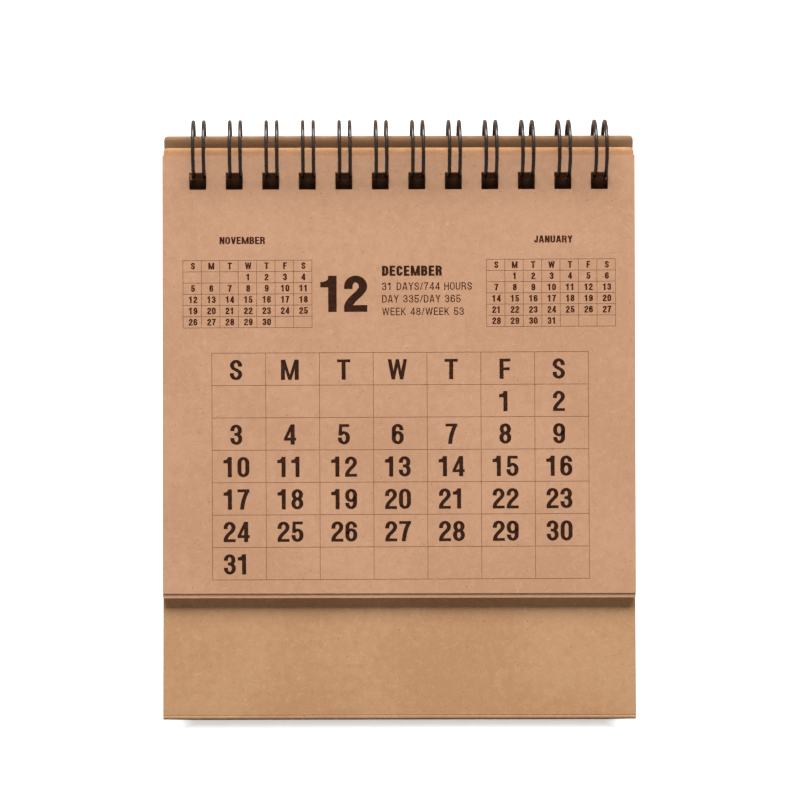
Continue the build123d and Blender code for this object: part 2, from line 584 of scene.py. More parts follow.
@dataclass(frozen=True)
class SheetFace:
    """A flat punched face of a CAD node, in coordinates of its own.

    Across runs along X and up runs up the sheet, both from the loop axis.

    Attributes:
        up, normal: directions up the sheet and out of its face.
        level: loop axis to the face, along the normal.
        half_width: middle to side edge.
        foot, head: lower and upper edge.
        hole_sides: where the sides of the holes are, from left to right.
        hole_foot, hole_head: lower and upper edge of the holes.
        corner_radius: rounding of the upper corners.
    """

    up: Vector
    normal: Vector
    level: float
    half_width: float
    foot: float
    head: float
    hole_sides: tuple[float, ...]
    hole_foot: float
    hole_head: float
    corner_radius: float

    @classmethod
    def read(cls, node: str, facing: Facing) -> "SheetFace":
        """Read a face from a node of the frame.

        Args:
            node: the node's name.
            facing: the side that the face looks to.

        Returns:
            The face, with its outline and its row of holes.
        """
        mesh = frame["nodes"][node].data
        leaning = [
            polygon for polygon in mesh.polygons
            if polygon.normal.y * facing.value > STANDING and polygon.normal.z > 0
        ]
        widest = max(leaning, key=lambda polygon: polygon.area)
        normal = widest.normal.copy()
        up = (UP - normal * normal.z).normalized()
        level = (mesh.vertices[widest.vertices[0]].co - LOOP_AXIS).dot(normal)
        on_face = [vertex.co - LOOP_AXIS for vertex in mesh.vertices]
        on_face = [place for place in on_face if abs(place.dot(normal) - level) < SAME_PLACE]
        across = np.array([place.x for place in on_face])
        along = np.array([place.dot(up) for place in on_face])
        half_width, foot, head = across.max(), along.min(), along.max()
        corner_radius = half_width - across[along > head - SAME_PLACE].max()
        at_holes = np.abs(across) < half_width - corner_radius - HOLE_MARGIN
        at_holes &= (along > foot + HOLE_MARGIN) & (along < head - SAME_PLACE)
        hole_sides = np.unique(np.round(across[at_holes], PLACE_DIGITS))
        return cls(
            up=up,
            normal=normal,
            level=level,
            half_width=float(half_width),
            foot=float(foot),
            head=float(head),
            hole_sides=tuple(hole_sides.tolist()),
            hole_foot=float(along[at_holes].min()),
            hole_head=float(along[at_holes].max()),
            corner_radius=float(corner_radius),
        )

    def point(self, across: float, along: float, out: float = 0.0) -> Vector:
        """Give the place of a point of the face, or of one that stands out from it."""
        return LOOP_AXIS + RIGHT * across + self.up * along + self.normal * (self.level + out)

    def turned(self, angle: float) -> "SheetFace":
        """Give the face turned about the loop axis, with its foot towards the back."""
        turn = Matrix.Rotation(angle, 3, "X")
        return replace(self, up=turn @ self.up, normal=turn @ self.normal)

    def matrix(self) -> Matrix:
        """Give the matrix that lays flat XY geometry on the face."""
        turn = Matrix((RIGHT, self.up, self.normal)).transposed()
        return Matrix.LocRotScale(self.point(0, 0), turn, None)


@dataclass(frozen=True)
class SheetRow:
    """A line across a sheet.

    Attributes:
        along: distance along the sheet, for its pattern.
        outer, inner: the line's middle on the outer and the inner face.
        trim: direction and size of the rounding at the line's ends, zero where it has none.
        punched: whether the strip from this line to the next has the holes.
        rubbed: the side of that strip that is painted dark as painted shade below the holes, if any.
    """

    along: float
    outer: Vector
    inner: Vector
    trim: Vector = field(default_factory=lambda: Vector((0, 0, 0)))
    punched: bool = False
    rubbed: SheetPart | None = None


def finish_edges(bm: bmesh.types.BMesh, rounding: float) -> None:
    """Round the square edges of a sheet, and shade its flat ones smoothly.

    Args:
        bm: the sheet.
        rounding: width of the small round, or zero for none.
    """
    bm.normal_update()
    if rounding:
        square = [
            edge for edge in bm.edges
            if edge.calc_face_angle(0.0) > SQUARE_EDGE and edge.calc_length() > rounding
        ]
        bmesh.ops.bevel(bm, geom=square, offset=rounding, segments=2, profile=0.5, affect="EDGES")
        bm.normal_update()
    for face in bm.faces:
        face.smooth = True
    for edge in bm.edges:
        edge.smooth = edge.calc_face_angle(0.0) < SMOOTH_EDGE


@dataclass(frozen=True)
class PunchedSheet:
    """A sheet with rows of holes, flat or folded.

    Attributes:
        half_width: middle to side edge.
        hole_sides: where the sides of the holes are, from left to right.
        rows: lines across the sheet, in order.
        corner_steps: facets of a rounded corner.
    """

    half_width: float
    hole_sides: tuple[float, ...]
    rows: tuple[SheetRow, ...]
    corner_steps: int = 6

    def columns(self) -> list[tuple[float, bool]]:
        """Give the lines up the sheet.

        Returns:
            Each line's place across, and whether the strip to the next one is a hole's.
        """
        sides = [(x, index % 2 == 0) for index, x in enumerate(self.hole_sides)]
        radius = max(row.trim.length for row in self.rows)
        turns = [math.pi / 2 * step / self.corner_steps for step in range(self.corner_steps + 1)]
        ends = sorted({self.half_width - radius * (1 - math.sin(turn)) for turn in turns})
        left = [(-x, False) for x in reversed(ends)]
        return left + sides + [(x, False) for x in ends]

    def corner(self, across: float, row: SheetRow, is_inner: bool) -> Vector:
        """Give the place of a corner of the grid.

        Args:
            across: the corner's place across the sheet.
            row: its line across the sheet.
            is_inner: whether it is on the inner face.

        Returns:
            The place.
        """
        radius = row.trim.length
        inset = max(0.0, abs(across) - (self.half_width - radius))
        drop = radius - math.sqrt(max(0.0, radius**2 - inset**2))
        middle = row.inner if is_inner else row.outer
        return middle + RIGHT * across + row.trim.normalized() * drop

    def mesh(self, name: str, material: bpy.types.Material, rounding: float = 0.0) -> bpy.types.Mesh:
        """Build the closed mesh.

        Args:
            name: the mesh's name.
            material: its finish.
            rounding: width of the small round on its square edges, or zero for none.

        Returns:
            The mesh, with sheet coordinates and the parts of its surface.
        """
        columns = self.columns()
        cells = {(i, j) for i in range(len(columns) - 1) for j in range(len(self.rows) - 1)}
        holes = {(i, j) for i, j in cells if columns[i][1] and self.rows[j].punched}
        solid = cells - holes
        bm = bmesh.new()
        uv = bm.loops.layers.uv.new(SHEET_UV)
        part = bm.faces.layers.float.new(SHEET_PART)
        corners: dict[tuple[int, int, int], bmesh.types.BMVert] = {}

        def quad(keys: list[tuple[int, int, int]], kind: SheetPart) -> None:
            """Add a face between four corners of the grid.

            Args:
                keys: column, row and side of each corner.
                kind: the part of the surface that the face is.
            """
            for i, j, side in keys:
                if (i, j, side) not in corners:
                    place = self.corner(columns[i][0], self.rows[j], bool(side))
                    corners[i, j, side] = bm.verts.new(place)
            face = bm.faces.new([corners[key] for key in keys])
            face[part] = kind.value
            for loop, (i, j, _) in zip(face.loops, keys):
                loop[uv].uv = (columns[i][0], self.rows[j].along)

        for i, j in sorted(solid):
            ring = [(i, j), (i + 1, j), (i + 1, j + 1), (i, j + 1)]
            # The band of painted shade runs only across the span of the holes
            by_holes = self.hole_sides[0] <= columns[i][0] < self.hole_sides[-1]
            for side, kind in enumerate((SheetPart.OUTER, SheetPart.INNER)):
                keys = [(*key, side) for key in (reversed(ring) if side else ring)]
                quad(keys, SheetPart.RUBBED if by_holes and self.rows[j].rubbed is kind else kind)
            beside = [(i, j - 1), (i + 1, j), (i, j + 1), (i - 1, j)]
            for (start, end), other in zip(pairwise([*ring, ring[0]]), beside):
                if other not in solid:
                    kind = SheetPart.PUNCHED if other in holes else SheetPart.CUT
                    quad([(*start, 0), (*start, 1), (*end, 1), (*end, 0)], kind)
        finish_edges(bm, rounding)
        mesh = bpy.data.meshes.new(name)
        bm.to_mesh(mesh)
        bm.free()
        mesh.materials.append(material)
        return mesh


def add_piece(
    name: str,
    mesh: bpy.types.Mesh,
    body: Body,
    replaces: Sequence[str] = (),
) -> None:
    """Put a finished mesh in the scene.

    Args:
        name: the piece's name.
        mesh: its mesh, already in place.
        body: the body that it rides on.
        replaces: the CAD nodes that it stands for.
    """
    piece = bpy.data.objects.new(name, mesh)
    bpy.context.scene.collection.objects.link(piece)
    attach(piece, body.value)
    if replaces:
        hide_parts(*replaces)
    LOG.info("%s: %d faces on %s", name, len(mesh.polygons), body.value)


def run_nodes(
    name: str, source: bpy.types.ID | None, group: Nodes, values: dict[str, object]
) -> bpy.types.Mesh:
    """Run a geometry tree and keep its result as a plain mesh.

    Args:
        name: the mesh's name.
        source: the mesh or curve that the tree starts from, or None for an empty mesh.
        group: the tree.
        values: the tree's inputs by socket name.

    Returns:
        The plain mesh.
    """
    carrier = bpy.data.objects.new(name, source or bpy.data.meshes.new(name))
    bpy.context.scene.collection.objects.link(carrier)
    modifier = carrier.modifiers.new(name, "NODES")
    modifier.node_group = group.tree
    for item in group.tree.interface.items_tree:
        if item.in_out == "INPUT" and item.name in values:
            modifier[item.identifier] = values[item.name]
    evaluated = carrier.evaluated_get(bpy.context.evaluated_depsgraph_get())
    mesh = bpy.data.meshes.new_from_object(evaluated)
    mesh.name = name
    bpy.data.objects.remove(carrier)
    return mesh


@dataclass
class StandBoard:
    """The folded board: back panel, base and front panel.

    Attributes:
        finish: its kraft.
        fold_radius, inner_radius: outside and inside of each fold.
        fold_steps: facets of a fold.
        score_height: fold to the scored line above it.
        score_width, score_depth: size of the scored line.
        edge_round: rounding of the cut edges.
        rub_height: how far below the holes the painted shade reaches on the board.
        node: its node of the frame.
    """

    finish: bpy.types.Material
    fold_radius: float = 0.4 * MM
    inner_radius: float = 0.2 * MM
    fold_steps: int = 8
    score_height: float = 0.5 * MM
    score_width: float = 0.3 * MM
    score_depth: float = 0.07 * MM
    edge_round: float = 0.12 * MM
    rub_height: float = 5.0 * MM
    node: str = "stand_board"

    def __post_init__(self) -> None:
        """Read the panels from the frame, and the board's thickness between two of its faces."""
        self.front = SheetFace.read(self.node, Facing.FRONT)
        self.back = SheetFace.read(self.node, Facing.BACK)
        mesh = frame["nodes"][self.node].data
        inside = [p for p in mesh.polygons if p.normal.dot(self.front.normal) < OPPOSITE]
        widest = max(inside, key=lambda polygon: polygon.area)
        inner = mesh.vertices[widest.vertices[0]].co - LOOP_AXIS
        self.thickness = self.front.level - inner.dot(self.front.normal)

    def fold_turn(self, face: SheetFace) -> float:
        """Give how far the board turns from the base to a panel."""
        return math.pi / 2 + math.asin(face.normal.z)

    def inner_depth(self) -> float:
        """Give how much deeper the middle of a fold's inside lies than that of its outside."""
        return self.thickness + self.inner_radius - self.fold_radius

    def panel_rows(self, face: SheetFace, start: float) -> list[SheetRow]:
        """Give the rows of a panel, from the scored line above its fold to its top edge.

        Args:
            face: the panel's outer face.
            start: distance along the sheet where the panel leaves its fold.

        Returns:
            The rows, from the fold up.
        """
        score, half = face.foot + self.score_height, self.score_width / 2
        lag = self.inner_depth() * math.tan(self.fold_turn(face) / 2)
        rows = [
            SheetRow(
                start + height - face.foot,
                face.point(0, height, -depth),
                face.point(0, height + lag, -self.thickness),
            )
            for height, depth in ((score - half, 0.0), (score, self.score_depth), (score + half, 0.0))
        ]
        # Painted shade: a band of board from below the holes up to them is painted dark, on the side
        # that shows through the holes
        shade_foot = face.hole_foot - self.rub_height
        rubbed = SheetPart.OUTER if face is self.front else SheetPart.INNER
        shoulder = face.head - face.corner_radius
        for height in (shade_foot, face.hole_foot, face.hole_head, shoulder, face.head):
            rows.append(
                SheetRow(
                    start + height - face.foot,
                    face.point(0, height),
                    face.point(0, height, -self.thickness),
                    trim=-face.up * face.corner_radius * (height == face.head),
                    punched=height == face.hole_foot,
                    rubbed=rubbed if height == shade_foot else None,
                )
            )
        return rows

    def fold_rows(self, face: SheetFace, start: float) -> list[SheetRow]:
        """Give the rows of a fold, from the base to a panel.

        Args:
            face: the panel's outer face.
            start: distance along the sheet where the fold leaves the base.

        Returns:
            The rows, from the base up.
        """
        turn = self.fold_turn(face)
        side = math.copysign(1, face.normal.y)
        centre = face.point(0, face.foot, -self.fold_radius)
        inner_centre = centre + self.inner_depth() * Vector((0, -side * math.tan(turn / 2), 1))
        rows = []
        for step in range(self.fold_steps + 1):
            angle = turn * step / self.fold_steps
            normal = Vector((0, side * math.sin(angle), -math.cos(angle)))
            outer = centre + normal * self.fold_radius
            inner = inner_centre + normal * self.inner_radius
            rows.append(SheetRow(start + self.fold_radius * angle, outer, inner))
        return rows

    def half_rows(self, face: SheetFace, start: float) -> list[SheetRow]:
        """Give the rows of a fold and its panel, from where the fold leaves the base."""
        fold = self.fold_rows(face, start)
        return fold + self.panel_rows(face, fold[-1].along)

    def build(self) -> None:
        """Build the board from the back panel's top edge, under the base, to the front panel's."""
        half_base = (self.back.point(0, self.back.foot).y - self.front.point(0, self.front.foot).y) / 2
        front, back = (self.half_rows(face, half_base) for face in (self.front, self.back))
        # On the way down the back panel, the strip after a row is the one of the row below it
        turned = [
            replace(row, along=-row.along, punched=below.punched, rubbed=below.rubbed)
            for row, below in pairwise([*reversed(back), back[0]])
        ]
        sheet = PunchedSheet(self.front.half_width, self.front.hole_sides, (*turned, *front))
        mesh = sheet.mesh("stand_shell", self.finish, self.edge_round)
        add_piece("stand_shell", mesh, Body.STAND, [self.node])


def leaf_rows(face: SheetFace, thickness: float, trim: float = 0.0) -> tuple[SheetRow, ...]:
    """Give the rows of a flat leaf, from its foot to its head.

    Args:
        face: the leaf's front.
        thickness: of the leaf.
        trim: how much is taken off its foot and head.

    Returns:
        The rows, from the foot up.
    """
    heights = (face.foot + trim, face.hole_foot, face.hole_head, face.head - trim)
    return tuple(
        SheetRow(
            height,
            face.point(0, height),
            face.point(0, height, -thickness),
            punched=height == face.hole_foot,
        )
        for height in heights
    )


@dataclass
class FrontLeaf:
    """The leaf on show, which turns on the wire.

    Attributes:
        finish: its kraft.
        thickness: of the leaf.
        lean: how far it leans back on the pad from where the frame holds it clear.
        node: its node of the frame.
    """

    finish: bpy.types.Material
    thickness: float = 0.2 * MM
    lean: float = math.radians(0.15)
    node: str = "front_leaf"

    def build(self) -> SheetFace:
        """Build the leaf.

        Returns:
            Its face, for the print.
        """
        face = SheetFace.read(self.node, Facing.FRONT).turned(self.lean)
        sheet = PunchedSheet(face.half_width, face.hole_sides, leaf_rows(face, self.thickness))
        mesh = sheet.mesh("month_leaf", self.finish)
        add_piece("month_leaf", mesh, Body.FRONT_LEAF, [self.node])
        return face


@dataclass
class RearLeaves:
    """The rest of the pad: a stack of leaves that lie a little unevenly.

    Attributes:
        finish: their kraft.
        count: how many leaves there are.
        stack: thickness of the pad.
        air: gap between two leaves.
        uneven: how far a leaf lies from its place, each way.
        seed: for the uneven lay.
        node: their node of the frame.
    """

    finish: bpy.types.Material
    count: int = 7
    stack: float = 1.4 * MM
    air: float = 0.03 * MM
    uneven: float = 0.1 * MM
    seed: int = 4
    node: str = "rear_leaves"

    def stack_group(self) -> Nodes:
        """Build the tree that repeats a leaf through the stack.

        Returns:
            The shorthand for the tree.
        """
        group = new_group(
            "leaf_stack",
            "GeometryNodeTree",
            {
                "Leaf": "NodeSocketGeometry",
                "Count": "NodeSocketInt",
                "Step": "NodeSocketVector",
                "Up": "NodeSocketVector",
                "Uneven": "NodeSocketFloat",
                "Seed": "NodeSocketInt",
                "Kraft": "NodeSocketMaterial",
            },
            {"Stack": "NodeSocketGeometry"},
        )
        given = group.add("NodeGroupInput").outputs
        places = group.add("GeometryNodeMeshLine", {"Count": given["Count"], "Offset": given["Step"]})
        low = group.math("MULTIPLY", given["Uneven"], -1.0)
        slips = []
        for place in range(2):
            seed = group.math("ADD", given["Seed"], float(place))
            limits = {2: low, 3: given["Uneven"], "Seed": seed}
            slips.append(group.add("FunctionNodeRandomValue", limits, data_type="FLOAT").outputs[1])
        across = group.add("ShaderNodeCombineXYZ", {0: slips[0]})
        along = group.add("ShaderNodeVectorMath", {0: given["Up"], "Scale": slips[1]}, operation="SCALE")
        slip = group.add(
            "ShaderNodeVectorMath", {0: along.outputs[0], 1: across.outputs[0]}, operation="ADD"
        )
        moved = group.add(
            "GeometryNodeSetPosition", {"Geometry": places.outputs[0], "Offset": slip.outputs[0]}
        )
        leaves = group.add(
            "GeometryNodeInstanceOnPoints", {"Points": moved.outputs[0], "Instance": given["Leaf"]}
        )
        group.deliver("Stack", leaves.outputs[0], given["Kraft"])
        return group

    def build(self) -> SheetFace:
        """Build the stack.

        Returns:
            Its front face, for the print.
        """
        face = SheetFace.read(self.node, Facing.FRONT)
        pitch = self.stack / self.count
        rows = leaf_rows(face, pitch - self.air, self.uneven)
        sheet = PunchedSheet(face.half_width - self.uneven, face.hole_sides, rows)
        leaf = sheet.mesh("pad_leaf", self.finish)
        values = {
            "Count": self.count,
            "Step": -face.normal * pitch,
            "Up": face.up,
            "Uneven": self.uneven,
            "Seed": self.seed,
            "Kraft": self.finish,
        }
        mesh = run_nodes("pad_leaves", leaf, self.stack_group(), values)
        add_piece("pad_leaves", mesh, Body.STAND, [self.node])
        return face


@dataclass
class WireBinding:
    """The double-loop wire, one wire from end to end.

    Attributes:
        finish: its coat.
        diameter: of the wire.
        loop_radius: loop axis to the middle of the wire.
        strand_spacing: between the two strands of a loop.
        loop_count, loop_pitch: the row of loops.
        root_angle, tip_angle: where the strands end, from straight back, rising over the ridge.
        bend_radius: of the root bends.
        skew: how far the front of a loop lies right of its back.
        drift: how far all loops lie right of their holes.
        strand_steps, bend_steps: facets along a strand and round a bend.
        sides: facets round the wire.
        node: its node of the frame.
    """

    finish: bpy.types.Material
    diameter: float = 0.86 * MM
    loop_radius: float = 6.465 * MM
    strand_spacing: float = 2.45 * MM
    loop_count: int = 12
    loop_pitch: float = 8.5 * MM
    root_angle: float = math.radians(-40.2)
    tip_angle: float = math.radians(286.2)
    bend_radius: float = 1.2 * MM
    skew: float = 0.34 * MM
    drift: float = 0.16 * MM
    strand_steps: int = 60
    bend_steps: int = 6
    sides: int = 12
    node: str = "wire_binding"

    def loop_path(self, middle: float) -> list[Point]:
        """Give a loop's path on the unrolled drum, from one root bar's middle to the next.

        Args:
            middle: the loop's place across the calendar.

        Returns:
            Points of place across and angle round the loop axis.
        """
        half, reach = self.strand_spacing / 2, self.loop_pitch / 2
        bend = self.bend_radius / self.loop_radius
        turns = [math.pi / 2 * step / self.bend_steps for step in range(1, self.bend_steps + 1)]
        start = -half - self.bend_radius
        left: list[Point] = [(-reach, self.root_angle - bend), (start, self.root_angle - bend)]
        left += [
            (start + self.bend_radius * math.sin(t), self.root_angle - bend * math.cos(t)) for t in turns
        ]
        sweep = self.tip_angle - self.root_angle
        left += [
            (-half, self.root_angle + sweep * step / self.strand_steps)
            for step in range(1, self.strand_steps + 1)
        ]
        tip = half / self.loop_radius
        left += [(-half * math.cos(t), self.tip_angle + tip * math.sin(t)) for t in turns]
        right = [(-x, angle) for x, angle in reversed(left[:-1])]
        return [(middle + x, angle) for x, angle in left + right]

    def place(self, across: float, angle: float) -> Vector:
        """Roll a point of the unrolled path round the loop axis, with the loops' skew.

        Args:
            across: the point's place across the calendar.
            angle: its angle round the loop axis.

        Returns:
            The place of the point.
        """
        shift = self.drift - self.skew / 2 * math.cos(angle)
        out = Vector((0, math.cos(angle), math.sin(angle))) * self.loop_radius
        return LOOP_AXIS + RIGHT * (across + shift) + out

    def tube_group(self) -> Nodes:
        """Build the tree that draws a round wire along a path.

        Returns:
            The shorthand for the tree.
        """
        group = new_group(
            "round_wire",
            "GeometryNodeTree",
            {
                "Path": "NodeSocketGeometry",
                "Wire Radius": "NodeSocketFloat",
                "Sides": "NodeSocketInt",
                "Coat": "NodeSocketMaterial",
            },
            {"Wire": "NodeSocketGeometry"},
        )
        given = group.add("NodeGroupInput").outputs
        section = group.add(
            "GeometryNodeCurvePrimitiveCircle",
            {"Resolution": given["Sides"], "Radius": given["Wire Radius"]},
        )
        tube = group.add(
            "GeometryNodeCurveToMesh",
            {"Curve": given["Path"], "Profile Curve": section.outputs[0], "Fill Caps": True},
        )
        group.deliver("Wire", tube.outputs[0], given["Coat"])
        return group

    def build(self) -> None:
        """Build the wire."""
        middles = [(i - (self.loop_count - 1) / 2) * self.loop_pitch for i in range(self.loop_count)]
        path: list[Point] = []
        for middle in middles:
            path += self.loop_path(middle)[1 if path else 0:]
        curve = bpy.data.curves.new("wire_path", "CURVE")
        curve.dimensions = "3D"
        spline = curve.splines.new("POLY")
        spline.points.add(len(path) - 1)
        for point, (across, angle) in zip(spline.points, path):
            point.co = (*self.place(across, angle), 1.0)
        values = {"Wire Radius": self.diameter / 2, "Sides": self.sides, "Coat": self.finish}
        mesh = run_nodes("wire_loops", curve, self.tube_group(), values)
        mesh.shade_smooth()
        add_piece("wire_loops", mesh, Body.STAND, [self.node])


# The letters are drawn in hundredths of the cap height
CAP = 100.0                    # cap height
PEN_STEM = 10.0                # half the width of an upright stroke, as drawn
PEN_BAR = 7.0                  # half the width of a level stroke, as drawn
DIGIT = 59.0                   # width of most numerals
SAME_POINT = 0.01              # largest distance between points that count as one


@dataclass(frozen=True)
class Arc:
    """Part of an ellipse in a letter's skeleton.

    Attributes:
        x, y: its middle.
        rx, ry: its half width and half height.
        start, end: its angles, in degrees.
    """

    x: float
    y: float
    rx: float
    ry: float
    start: float
    end: float

    def points(self, last: Point | None, steps: int) -> list[Point]:
        """Sample the arc.

        Args:
            last: the point before it, which it doesn't need.
            steps: facets to a quarter turn.

        Returns:
            Its points, with both ends.
        """
        sweep = self.end - self.start
        count = max(2, round(abs(sweep) / 90 * steps))
        turns = [math.radians(self.start + sweep * i / count) for i in range(count + 1)]
        return [(self.x + self.rx * math.cos(t), self.y + self.ry * math.sin(t)) for t in turns]


@dataclass(frozen=True)
class Bend:
    """Smooth curve from the last point of a skeleton.

    Attributes:
        first, second: its handles.
        end: its last point.
    """

    first: Point
    second: Point
    end: Point

    def points(self, last: Point | None, steps: int) -> list[Point]:
        """Sample the curve.

        Args:
            last: the point that it starts from.
            steps: facets to half of it.

        Returns:
            Its points after the last one.
        """
        count = steps * 2
        result = []
        for i in range(1, count + 1):
            t, s = i / count, 1 - i / count
            weights = (s**3, 3 * s * s * t, 3 * s * t * t, t**3)
            knots = (last, self.first, self.second, self.end)
            result.append(tuple(sum(w * k[axis] for w, k in zip(weights, knots)) for axis in (0, 1)))
        return result


@dataclass(frozen=True)
class Stroke:
    """One stroke of a letter: points, arcs and bends on its middle line.

    Attributes:
        path: the pieces of the line, in hundredths of the cap height.
        weight: share of the full stroke width.
        closed: whether the line runs back to its start.
        filled: whether the line is the outline of a filled shape, anticlockwise.
    """

    path: tuple[Point | Arc | Bend, ...]
    weight: float = 1.0
    closed: bool = False
    filled: bool = False

    def skeleton(self, steps: int) -> np.ndarray:
        """Sample the line.

        Args:
            steps: facets to a quarter turn.

        Returns:
            Its points, none of them doubled.
        """
        points: list[Point] = []
        for item in self.path:
            last = points[-1] if points else None
            found = [item] if isinstance(item, tuple) else item.points(last, steps)
            doubled = last is not None and math.dist(found[0], last) <= SAME_POINT
            points += found[1:] if doubled else found
        kept = [p for p, q in pairwise(points) if math.dist(p, q) > SAME_POINT]
        kept.append(points[-1])
        if self.closed and math.dist(kept[0], kept[-1]) < SAME_POINT:
            kept.pop()
        return np.array(kept)


def line(*points: Point, weight: float = 1.0) -> Stroke:
    """Make a stroke of straight runs."""
    return Stroke(points, weight)


def ring(width: float, low: float, high: float, round_height: float, inset: float = 0.0) -> Stroke:
    """Make a closed bowl with straight sides.

    Args:
        width: of the letter.
        low, high: lower and upper middle line.
        round_height: height of the rounded ends.
        inset: how much narrower than the letter the bowl is, each side.

    Returns:
        The closed stroke.
    """
    reach = width / 2 - PEN_STEM - inset
    top = Arc(width / 2, high - round_height, reach, round_height, 0, 180)
    bottom = Arc(width / 2, low + round_height, reach, round_height, 180, 360)
    return Stroke((top, bottom), closed=True)


def draw_letters() -> dict[str, tuple[float, tuple[Stroke, ...]]]:
    """Draw the plain condensed letters and numerals.

    Returns:
        Each character's width and strokes, in hundredths of the cap height.
    """
    low, high, mid = PEN_BAR, CAP - PEN_BAR, 52.0
    left, right, middle = PEN_STEM, DIGIT - PEN_STEM, DIGIT / 2
    reach = right - middle
    stem = line((left, 0), (left, CAP))
    head = line((0, high), (54, high))
    bowl_top, bowl_low = Arc(middle, 71, reach, 22, 0, 180), Arc(middle, 29, reach, 22, 0, -180)
    bowl_foot = Arc(middle, 29, reach, 22, 180, 360)
    six = Stroke((
        (right - 0.5, 69), Arc(middle, 72, reach - 0.5, 21, 0, 180), (left, 29),
        bowl_foot, (right, 37), Arc(middle, 37, reach, 21, 0, 180),
    ))
    nine = Stroke((
        (left + 0.5, 31), Arc(middle, 28, reach - 0.5, 21, 180, 360), (right, 71),
        bowl_top, (left, 63), Arc(middle, 63, reach, 21, 180, 360),
    ))
    flag = ((0, 69), (32, 69), (32, CAP), (22, CAP), Bend((20, 90), (14, 85), (0, 84.5)))
    return {
        "0": (DIGIT, (ring(DIGIT, low, high, 23),)),
        "1": (DIGIT, (line((31, 0), (31, CAP)), Stroke(flag, filled=True))),
        "2": (DIGIT, (
            Stroke((
                (left, 64), Arc(middle, 71, reach, 22, 180, 0), Bend((right, 50), (left, 36), (left, 9)),
            )),
            line((0, low), (DIGIT, low)),
        )),
        "3": (DIGIT, (
            Stroke((
                (left, 68), Arc(middle - 1, 73, reach - 1, 20, 180, 0),
                Arc(middle - 1, 69, reach - 1, 17, 0, -90), (20, mid),
            )),
            Stroke(((20, mid), Arc(middle, 30.5, reach, 21.5, 90, 0), bowl_low, (left, 34))),
        )),
        "4": (60, (
            line((42.5, 0), (42.5, CAP)),
            line((0, 27), (60, 27)),
            line((41, CAP), (6, 27), weight=0.8),
        )),
        "5": (DIGIT, (
            line((6, high), (56, high)),
            line((14, CAP), (11, 44), weight=0.8),
            Stroke((Arc(middle, 37, reach, 21, 150, 0), bowl_low, (left, 34))),
        )),
        "6": (DIGIT, (six,)),
        "7": (DIGIT, (
            line((0, high), (DIGIT, high)),
            Stroke(((right, high), Bend((36, 68), (25, 38), (22.5, 0)))),
        )),
        "8": (DIGIT, (ring(DIGIT, mid, high, 20.2, 1.5), ring(DIGIT, low, mid, 22.3))),
        "9": (DIGIT, (nine,)),
        "A": (66, (
            line((10, 0), (28.5, CAP), weight=0.95),
            line((56, 0), (37.5, CAP), weight=0.95),
            line((14, 27), (52, 27)),
        )),
        "B": (61, (
            stem,
            Stroke(((0, high), (28, high), Arc(28, 73, 20, 20, 90, -90), (left, 53))),
            Stroke(((left, 51), (29, 51), Arc(29, 29, 22, 22, 90, -90), (0, low))),
        )),
        "C": (DIGIT, (Stroke(((right, 66), bowl_top, bowl_foot, (right, 36))),)),
        "D": (61, (
            stem,
            Stroke((
                (0, high), (26, high), Arc(26, 68, 25, 25, 90, 0), Arc(26, 32, 25, 25, 0, -90), (0, low),
            )),
        )),
        "E": (55, (stem, head, line((left, 51), (51, 51)), line((0, low), (55, low)))),
        "F": (54, (stem, head, line((left, 50), (50, 50)))),
        "H": (60, (stem, line((50, 0), (50, CAP)), line((left, 51), (50, 51)))),
        "J": (50, (Stroke(((40, CAP), (40, 29), Arc(25, 28, 15, 21, 0, -180), (left, 37))),)),
        "K": (63, (stem, line((12, 36), (53, CAP), weight=0.95), line((25, 54), (54, 0), weight=0.95))),
        "M": (88, (
            stem,
            line((78, 0), (78, CAP)),
            line((13, CAP), (44, 0), weight=0.75),
            line((75, CAP), (44, 0), weight=0.75),
        )),
        "N": (61, (stem, line((51, 0), (51, CAP)), line((12, CAP), (49, 0), weight=0.85))),
        "O": (62, (ring(62, low, high, 24),)),
        "R": (62, (
            stem,
            Stroke(((0, high), (28, high), Arc(28, 72, 22, 21, 90, -90), (left, 51))),
            Stroke(((30, 50), Bend((48, 48), (48, 34), (50, 0)))),
        )),
        "S": (61, (
            Stroke((
                (51, 67), Arc(30.5, 72, 20, 21, 0, 180), Bend((10.5, 50), (51, 52), (51, 28)),
                Arc(30.5, 28, 20.5, 21, 0, -180), (10, 34),
            )),
        )),
        "T": (66, (line((0, high), (66, high)), line((33, 0), (33, CAP)))),
        "U": (60, (Stroke(((left, CAP), (left, 29), Arc(30, 29, 20, 22, 180, 360), (50, CAP))),)),
        "V": (62, (line((9, CAP), (31, 0), weight=0.95), line((53, CAP), (31, 0), weight=0.95))),
        "W": (96, (
            line((9, CAP), (28, 0), weight=0.9),
            line((48, CAP), (28, 0), weight=0.75),
            line((48, CAP), (68, 0), weight=0.75),
            line((87, CAP), (68, 0), weight=0.9),
        )),
        "Y": (62, (
            line((9, CAP), (31, 44), weight=0.95),
            line((53, CAP), (31, 44), weight=0.95),
            line((31, 0), (31, 48)),
        )),
        "/": (34, (line((4, 0), (30, CAP), weight=0.8),)),
        " ": (30, ()),
    }


LETTERS = draw_letters()


@dataclass(frozen=True)
class TypeStyle:
    """Size and weight of a line of type.

    Attributes:
        cap_height: height of capitals and numerals.
        stem, bar: width of upright and level strokes, as shares of the cap height.
        gap: space between two letters, as a share of the cap height.
        steps: facets to a quarter turn.
        stretch: how much wider than drawn the letters are.
    """

    cap_height: float
    stem: float
    bar: float
    gap: float = 0.1
    steps: int = 6
    stretch: float = 1.0

    def width(self, text: str) -> float:
        """Measure a line of text."""
        letters = sum(LETTERS[letter][0] for letter in text) / CAP
        return (letters * self.stretch + self.gap * (len(text) - 1)) * self.cap_height


